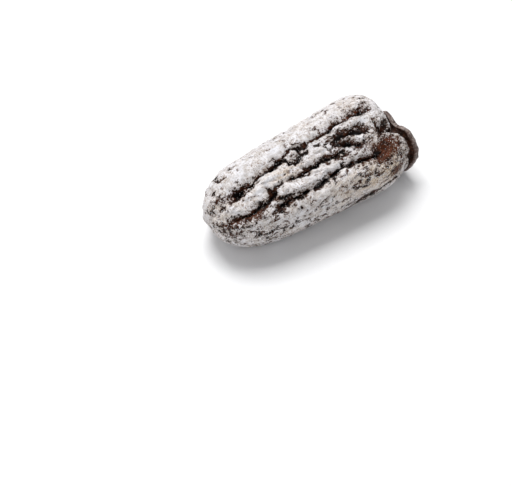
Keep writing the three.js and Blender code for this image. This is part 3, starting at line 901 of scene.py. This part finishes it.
def flesh_finish():
    """Dark sticky flesh under a crumbly crust of sugar, which has come off in clusters of small flecks. Black
    painted shade lies down the grooves, in the knob's moat and at the edge of the bare hollow.
    """
    f = Finish("bloomed_flesh")
    bloom_and_shade, fleck_share, warmth, redness, core = (
        f.attribute(name) for name in ("bloom_and_shade", "loose", "warmth", "redness", "core"))
    patches = f.noise(7.0, detail=3)
    streaks = f.noise(1.8, detail=3, roughness=0.6, stretch=(2.0, 1, 1), seed=7.0)
    flecks = f.noise(1.5, detail=4, roughness=0.7, stretch=(1.4, 1, 1), seed=13.0)
    pinholes = f.noise(0.6, detail=3, roughness=0.65, seed=19.0)
    cluster = f.step(f.noise(4.5, detail=3, roughness=0.6, stretch=(1.7, 1, 1), seed=23.0), 0.44, 0.58)

    # cover is how sure the crust is; below a half it is gone
    loose = f.times(f.sum((cluster, 2.4), (fleck_share, 1.9), 0.7), f.sum(flecks, -0.5))
    crumbs = f.times(f.sum((redness, 3.4), 1.2), f.sum(pinholes, -0.5))
    cover = f.sum(bloom_and_shade, loose, crumbs, (streaks, 1.3), (cluster, -0.12), -0.65)
    crust = f.step(cover, 0.44, 0.54)
    thick = f.step(cover, 0.46, 0.72)

    warm_share = f.times(f.sum((warmth, 0.8), (patches, 0.5), -0.1), f.step(streaks, 0.3, 0.6), clamp=True)
    powder = f.blend(f.step(f.noise(2.4, detail=3, seed=41.0), 0.4, 0.7), BLOOM_COOL, BLOOM_GREY)
    powder = f.blend(warm_share, powder, BLOOM_WARM)
    pitted = f.sum((f.step(patches, 0.42, 0.62), 0.55), (warmth, 0.35), 0.32)
    powder = f.blend(f.times(f.step(pinholes, 0.50, 0.61), pitted, clamp=True), powder, BLOOM_THIN)
    powder = f.blend(thick, BLOOM_THIN, powder)
    brown = f.step(f.noise(2.6, detail=2, seed=29.0), 0.45, 0.62)
    flesh = f.blend(brown, FLESH_DARK, FLESH_BROWN)
    flesh = f.blend(f.times(redness, f.step(flecks, 0.35, 0.6)), flesh, FLESH_RED)
    # black painted shade down the grooves, in the knob's moat and at the edge of the bare hollow
    flesh = f.blend(f.step(f.sum(core, (streaks, 0.9), -0.45), 0.35, 0.75), flesh, SHADE_BLACK)
    color = f.blend(crust, flesh, powder)

    normal = f.bump(f.noise(0.35, detail=3, seed=37.0), 0.12)
    normal = f.bump(crust, 0.18, normal)
    normal = f.bump(flecks, 0.20, normal)
    return f.finish(color, f.scale(crust, 0.48, 0.95), normal, specular=0.14)


def grain_finish():
    f = Finish("sugar_grain")
    tone = f.noise(1.2, detail=2)
    color = f.blend(f.step(tone, 0.4, 0.65), GRAIN_WHITE, GRAIN_CREAM)
    return f.finish(color, f.scale(tone, 0.75, 0.95), f.bump(f.noise(0.2), 0.04), specular=0.3)


def skin_finish():
    """Leathery skin: red-brown near the flesh, greyer towards the rolled lip, with dusty specks and painted
    shade down its creases.
    """
    f = Finish("dried_skin")
    frost, crease = f.attribute("frost"), f.attribute("crease")
    patches = f.noise(2.8, detail=3, seed=3.0)
    specks = f.noise(0.5, detail=2, roughness=0.65, seed=11.0)
    dust = f.sum((frost, 0.16), (patches, 0.7), (specks, 1.7), -1.02)
    skin = f.blend(f.step(patches, 0.38, 0.62), SKIN_DARK, SKIN_RED)
    aged = f.times(frost, f.step(patches, 0.30, 0.60))
    grey = f.blend(f.times(aged, 0.8), skin, SKIN_GREY)
    color = f.blend(f.times(f.step(dust, 0.32, 0.58), 0.6), grey, SKIN_DUST)
    # painted shade: near black down the valleys of the creases
    color = f.blend(f.times(crease, 0.6), color, SKIN_CREASE_SHADE)
    color = f.blend(f.times(f.step(specks, 0.58, 0.68), 0.6), color, SKIN_SPECK)
    normal = f.bump(f.noise(0.8, detail=3, seed=17.0), 0.15)
    normal = f.bump(specks, 0.12, normal)
    return f.finish(color, f.scale(f.step(dust, 0.3, 0.6), 0.42, 0.85), normal, specular=0.4)


def calyx_finish():
    """Papery calyx: ochre-brown inside and darker round the stem, orange-brown outside, its torn rim pale. It
    is darker along its sunken veins, and shade is painted in the valleys of its crinkles.
    """
    f = Finish("dried_calyx")
    rim, outside, vein, curl, spread = (
        f.attribute(name) for name in ("rim", "outside", "vein", "curl", "spread"))
    patches = f.noise(2.2, detail=3, seed=5.0)
    fibre = f.noise(0.35, detail=3, roughness=0.6, seed=15.0)
    inner = f.blend(f.step(patches, 0.40, 0.62), CALYX_BROWN, CALYX_OCHRE)
    inner = f.blend(f.step(f.sum(spread, (patches, 0.7), -0.35), 0.05, 0.65), CALYX_HEART, inner)
    outer = f.blend(f.step(patches, 0.40, 0.62), CALYX_RED, CALYX_ORANGE)
    paper = f.blend(outside, inner, outer)
    paper = f.blend(f.times(f.step(fibre, 0.5, 0.7), 0.4), paper, CALYX_FIBRE)
    # darker along the sunken veins, and painted shade in the valleys of the crinkles
    color = f.blend(f.times(f.math("MAXIMUM", vein, curl), 0.65), paper, CALYX_VEIN_AND_CREASE_SHADE)
    edge = f.times(f.step(f.sum(rim, (patches, 1.8), (fibre, 1.0), -1.55), 0.35, 0.85), 0.8)
    color = f.blend(edge, color, f.blend(f.step(fibre, 0.4, 0.6), CALYX_STRAW, CALYX_PALE))
    normal = f.bump(fibre, 0.12)
    normal = f.bump(patches, 0.2, normal)
    return f.finish(color, f.scale(fibre, 0.65, 0.9), normal, specular=0.25)


def stem_finish():
    """Woody stem: brown with lengthwise fibres, a whitish cut end and near-black painted shade down in its
    bore.
    """
    f = Finish("dried_stem")
    cut_end, fibre, bore = (f.attribute(name) for name in ("cut_end", "fibre", "bore"))
    tone = f.noise(0.7, detail=3, seed=2.0)
    wood = f.blend(fibre, STEM_DARK, STEM_BROWN)
    wood = f.blend(f.step(tone, 0.45, 0.7), wood, STEM_WORN)
    color = f.blend(f.times(cut_end, f.step(tone, 0.25, 0.55)), wood, STEM_CUT)
    # painted shade: near black down in the bore
    color = f.blend(bore, color, STEM_BORE_SHADE)
    normal = f.bump(f.noise(0.25, detail=2, seed=8.0), 0.08)
    return f.finish(color, f.scale(tone, 0.7, 0.9), normal, specular=0.3)


# ---------------------------------------------------------------- sugar grains

# Pieces of loose grains: how many a square millimetre, least and most half width in millimetres, seed
GRAINS = {
    "sugar_grains_fine": (2.4, 0.07, 0.15, 1),
    "sugar_grains_coarse": (0.9, 0.13, 0.28, 2),
}
GRAIN_CLEARANCE = (0.3, 1.2)  # above the resting surface: where the first grains sit, and where all do
GRAIN_BLOOM = (0.35, 0.75)    # likewise for the share of bloom
GRAINS_ON_BARE = 0.12         # share of the grains that sit where the bloom is gone


def grain_tree():
    """Scatters little eight-sided sugar grains over a surface, thickest where its bloom is thick."""
    tree = bpy.data.node_groups.new("sugar_grains", "GeometryNodeTree")
    tree.interface.new_socket("Grains", in_out="OUTPUT", socket_type="NodeSocketGeometry")
    for name, kind in (("Surface", "Geometry"), ("Density", "Float"), ("Smallest", "Float"),
                       ("Largest", "Float"), ("Seed", "Int"), ("Finish", "Material")):
        tree.interface.new_socket(name, in_out="INPUT", socket_type="NodeSocket" + kind)
    given = add_node(tree, "NodeGroupInput").outputs
    cover = add_node(tree, "GeometryNodeInputNamedAttribute", {"Name": "grain_cover"}, data_type="FLOAT")
    density = add_node(tree, "ShaderNodeMath", {
        0: given["Density"], 1: cover.outputs["Attribute"]}, operation="MULTIPLY")
    scatter = add_node(tree, "GeometryNodeDistributePointsOnFaces", {
        "Mesh": given["Surface"], "Density": density.outputs[0], "Seed": given["Seed"]})
    grain = add_node(tree, "GeometryNodeMeshUVSphere", {"Segments": 4, "Rings": 2, "Radius": 1.0})
    spin = add_node(tree, "FunctionNodeRandomValue", {"Max": (math.tau,) * 3}, data_type="FLOAT_VECTOR")
    size = add_node(tree, "FunctionNodeRandomValue", {
        2: given["Smallest"], 3: given["Largest"], "Seed": given["Seed"]}, data_type="FLOAT")
    placed = add_node(tree, "GeometryNodeInstanceOnPoints", {
        "Points": scatter.outputs["Points"], "Instance": grain.outputs["Mesh"],
        "Rotation": spin.outputs[0], "Scale": size.outputs[1]})
    real = add_node(tree, "GeometryNodeRealizeInstances", {"Geometry": placed.outputs["Instances"]})
    coated = add_node(tree, "GeometryNodeSetMaterial", {
        "Geometry": real.outputs["Geometry"], "Material": given["Finish"]})
    add_node(tree, "NodeGroupOutput", {"Grains": coated.outputs["Geometry"]})
    return tree


def add_grain_cover(body):
    """Where grains may sit: where the bloom is thick and clear of the surface that the fruit rests on."""
    mesh = body.data
    count = len(mesh.vertices)
    bloom_and_shade = np.zeros(count, np.float32)
    mesh.attributes["bloom_and_shade"].data.foreach_get("value", bloom_and_shade)
    places = np.zeros(count * 3, np.float32)
    mesh.vertices.foreach_get("co", places)
    clear = smooth_step(*(edge * MM for edge in GRAIN_CLEARANCE), places[2::3])
    cover = (GRAINS_ON_BARE + (1 - GRAINS_ON_BARE) * smooth_step(*GRAIN_BLOOM, bloom_and_shade)) * clear
    mesh.attributes.new("grain_cover", "FLOAT", "POINT").data.foreach_set("value", cover.astype(np.float32))


def make_grains(name, body, tree, density, smallest, largest, seed, material):
    """One piece of loose grains, scattered over the body as a plain mesh."""
    source = bpy.data.objects.new(name + "_source", body.data)
    bpy.context.scene.collection.objects.link(source)
    modifier = source.modifiers.new("grains", "NODES")
    modifier.node_group = tree
    given = {"Density": density / MM**2, "Smallest": smallest * MM, "Largest": largest * MM, "Seed": seed,
             "Finish": material}
    for item in tree.interface.items_tree:
        if item.item_type == "SOCKET" and item.in_out == "INPUT" and item.name in given:
            modifier[item.identifier] = given[item.name]
    seen = source.evaluated_get(bpy.context.evaluated_depsgraph_get())
    mesh = bpy.data.meshes.new_from_object(seen)
    mesh.name = name
    source.modifiers.clear()
    bpy.data.objects.remove(source)
    piece = bpy.data.objects.new(name, mesh)
    bpy.context.scene.collection.objects.link(piece)
    return piece


# ---------------------------------------------------------------- floor, light and camera

FLOOR_SIZE = 6                # metres
CAMERA_AZIMUTH = math.radians(-35)
CAMERA_ELEVATION = math.radians(50)
CAMERA_DISTANCE = 454.0       # millimetres from the middle of the part's box
CAMERA_ASIDE = 19.0           # the fruit sits right of the middle of the view
CAMERA_BELOW = 26.5           # and above it
CAMERA_LENS = 85
CAMERA_SENSOR = 36
LOOK_AT = Vector((np.array(cad_low) + np.array(cad_high)) / 2 / MM)

# Soft square lamps: azimuth and elevation in degrees, distance and size in metres, power in watts
LIGHTS = {
    "key_light": (168, 66, 1.1, 0.6, 11.5),
    "fill_light": (-70, 40, 1.3, 0.9, 1.6),
}
SKY_STRENGTH = 0.40


def make_floor():
    bpy.ops.mesh.primitive_plane_add(size=FLOOR_SIZE)
    floor = bpy.context.object
    floor.name = "floor"
    f = Finish("pale_floor")
    tone = f.noise(40.0, detail=1)
    color = f.blend(tone, FLOOR_PALE, FLOOR_PALER)
    floor.data.materials.append(f.finish(color, 0.7, f.bump(tone, 0.01), specular=0.2))


def toward(azimuth, elevation):
    """The way from the fruit to a camera or a lamp; azimuth 0 is straight in front of it."""
    return Vector((math.sin(azimuth) * math.cos(elevation),
                   -math.cos(azimuth) * math.cos(elevation), math.sin(elevation)))


def face_fruit(item, place, way):
    """Puts a camera or a lamp at its place, in metres, looking back along its way from the fruit."""
    item.location = place
    item.rotation_mode = "QUATERNION"
    item.rotation_quaternion = (-way).to_track_quat("-Z", "Y")
    bpy.context.scene.collection.objects.link(item)


def make_camera():
    way = toward(CAMERA_AZIMUTH, CAMERA_ELEVATION)
    right = Vector((math.cos(CAMERA_AZIMUTH), math.sin(CAMERA_AZIMUTH), 0))
    up = way.cross(right)
    camera = bpy.data.objects.new("camera", bpy.data.cameras.new("camera"))
    camera.data.lens = CAMERA_LENS
    camera.data.sensor_width = CAMERA_SENSOR
    camera.data.clip_start = 0.01
    place = LOOK_AT + way * CAMERA_DISTANCE - right * CAMERA_ASIDE - up * CAMERA_BELOW
    face_fruit(camera, place * MM, way)
    bpy.context.scene.camera = camera


def make_light(name, azimuth, elevation, distance, size, power):
    lamp = bpy.data.objects.new(name, bpy.data.lights.new(name, "AREA"))
    lamp.data.size = size
    lamp.data.energy = power
    way = toward(math.radians(azimuth), math.radians(elevation))
    face_fruit(lamp, LOOK_AT * MM + way * distance, way)


def light_scene():
    world = bpy.data.worlds.new("studio")
    world.use_nodes = True
    background = world.node_tree.nodes["Background"]
    background.inputs["Color"].default_value = SKY
    background.inputs["Strength"].default_value = SKY_STRENGTH
    bpy.context.scene.world = world
    for name, light in LIGHTS.items():
        make_light(name, *light)
    bpy.context.scene.view_settings.view_transform = "Standard"


# ---------------------------------------------------------------- putting it together

def dress(piece, material, node=None):
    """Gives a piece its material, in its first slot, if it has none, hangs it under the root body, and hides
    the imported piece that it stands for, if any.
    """
    if not piece.data.materials:
        piece.data.materials.append(material)
    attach(piece, "root")
    if node:
        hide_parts(node)


make_camera()
make_floor()
light_scene()

flesh = make_flesh()
add_grain_cover(flesh)
dress(flesh, flesh_finish(), "fruit")

tree, sugar = grain_tree(), grain_finish()
for piece in [make_grains(name, flesh, tree, *sizes, sugar) for name, sizes in GRAINS.items()]:
    dress(piece, sugar)

dress(make_collar(), skin_finish(), "skin_collar")
dress(make_calyx(), calyx_finish(), "calyx_cup")
dress(make_stub(), stem_finish(), "stem_stub")
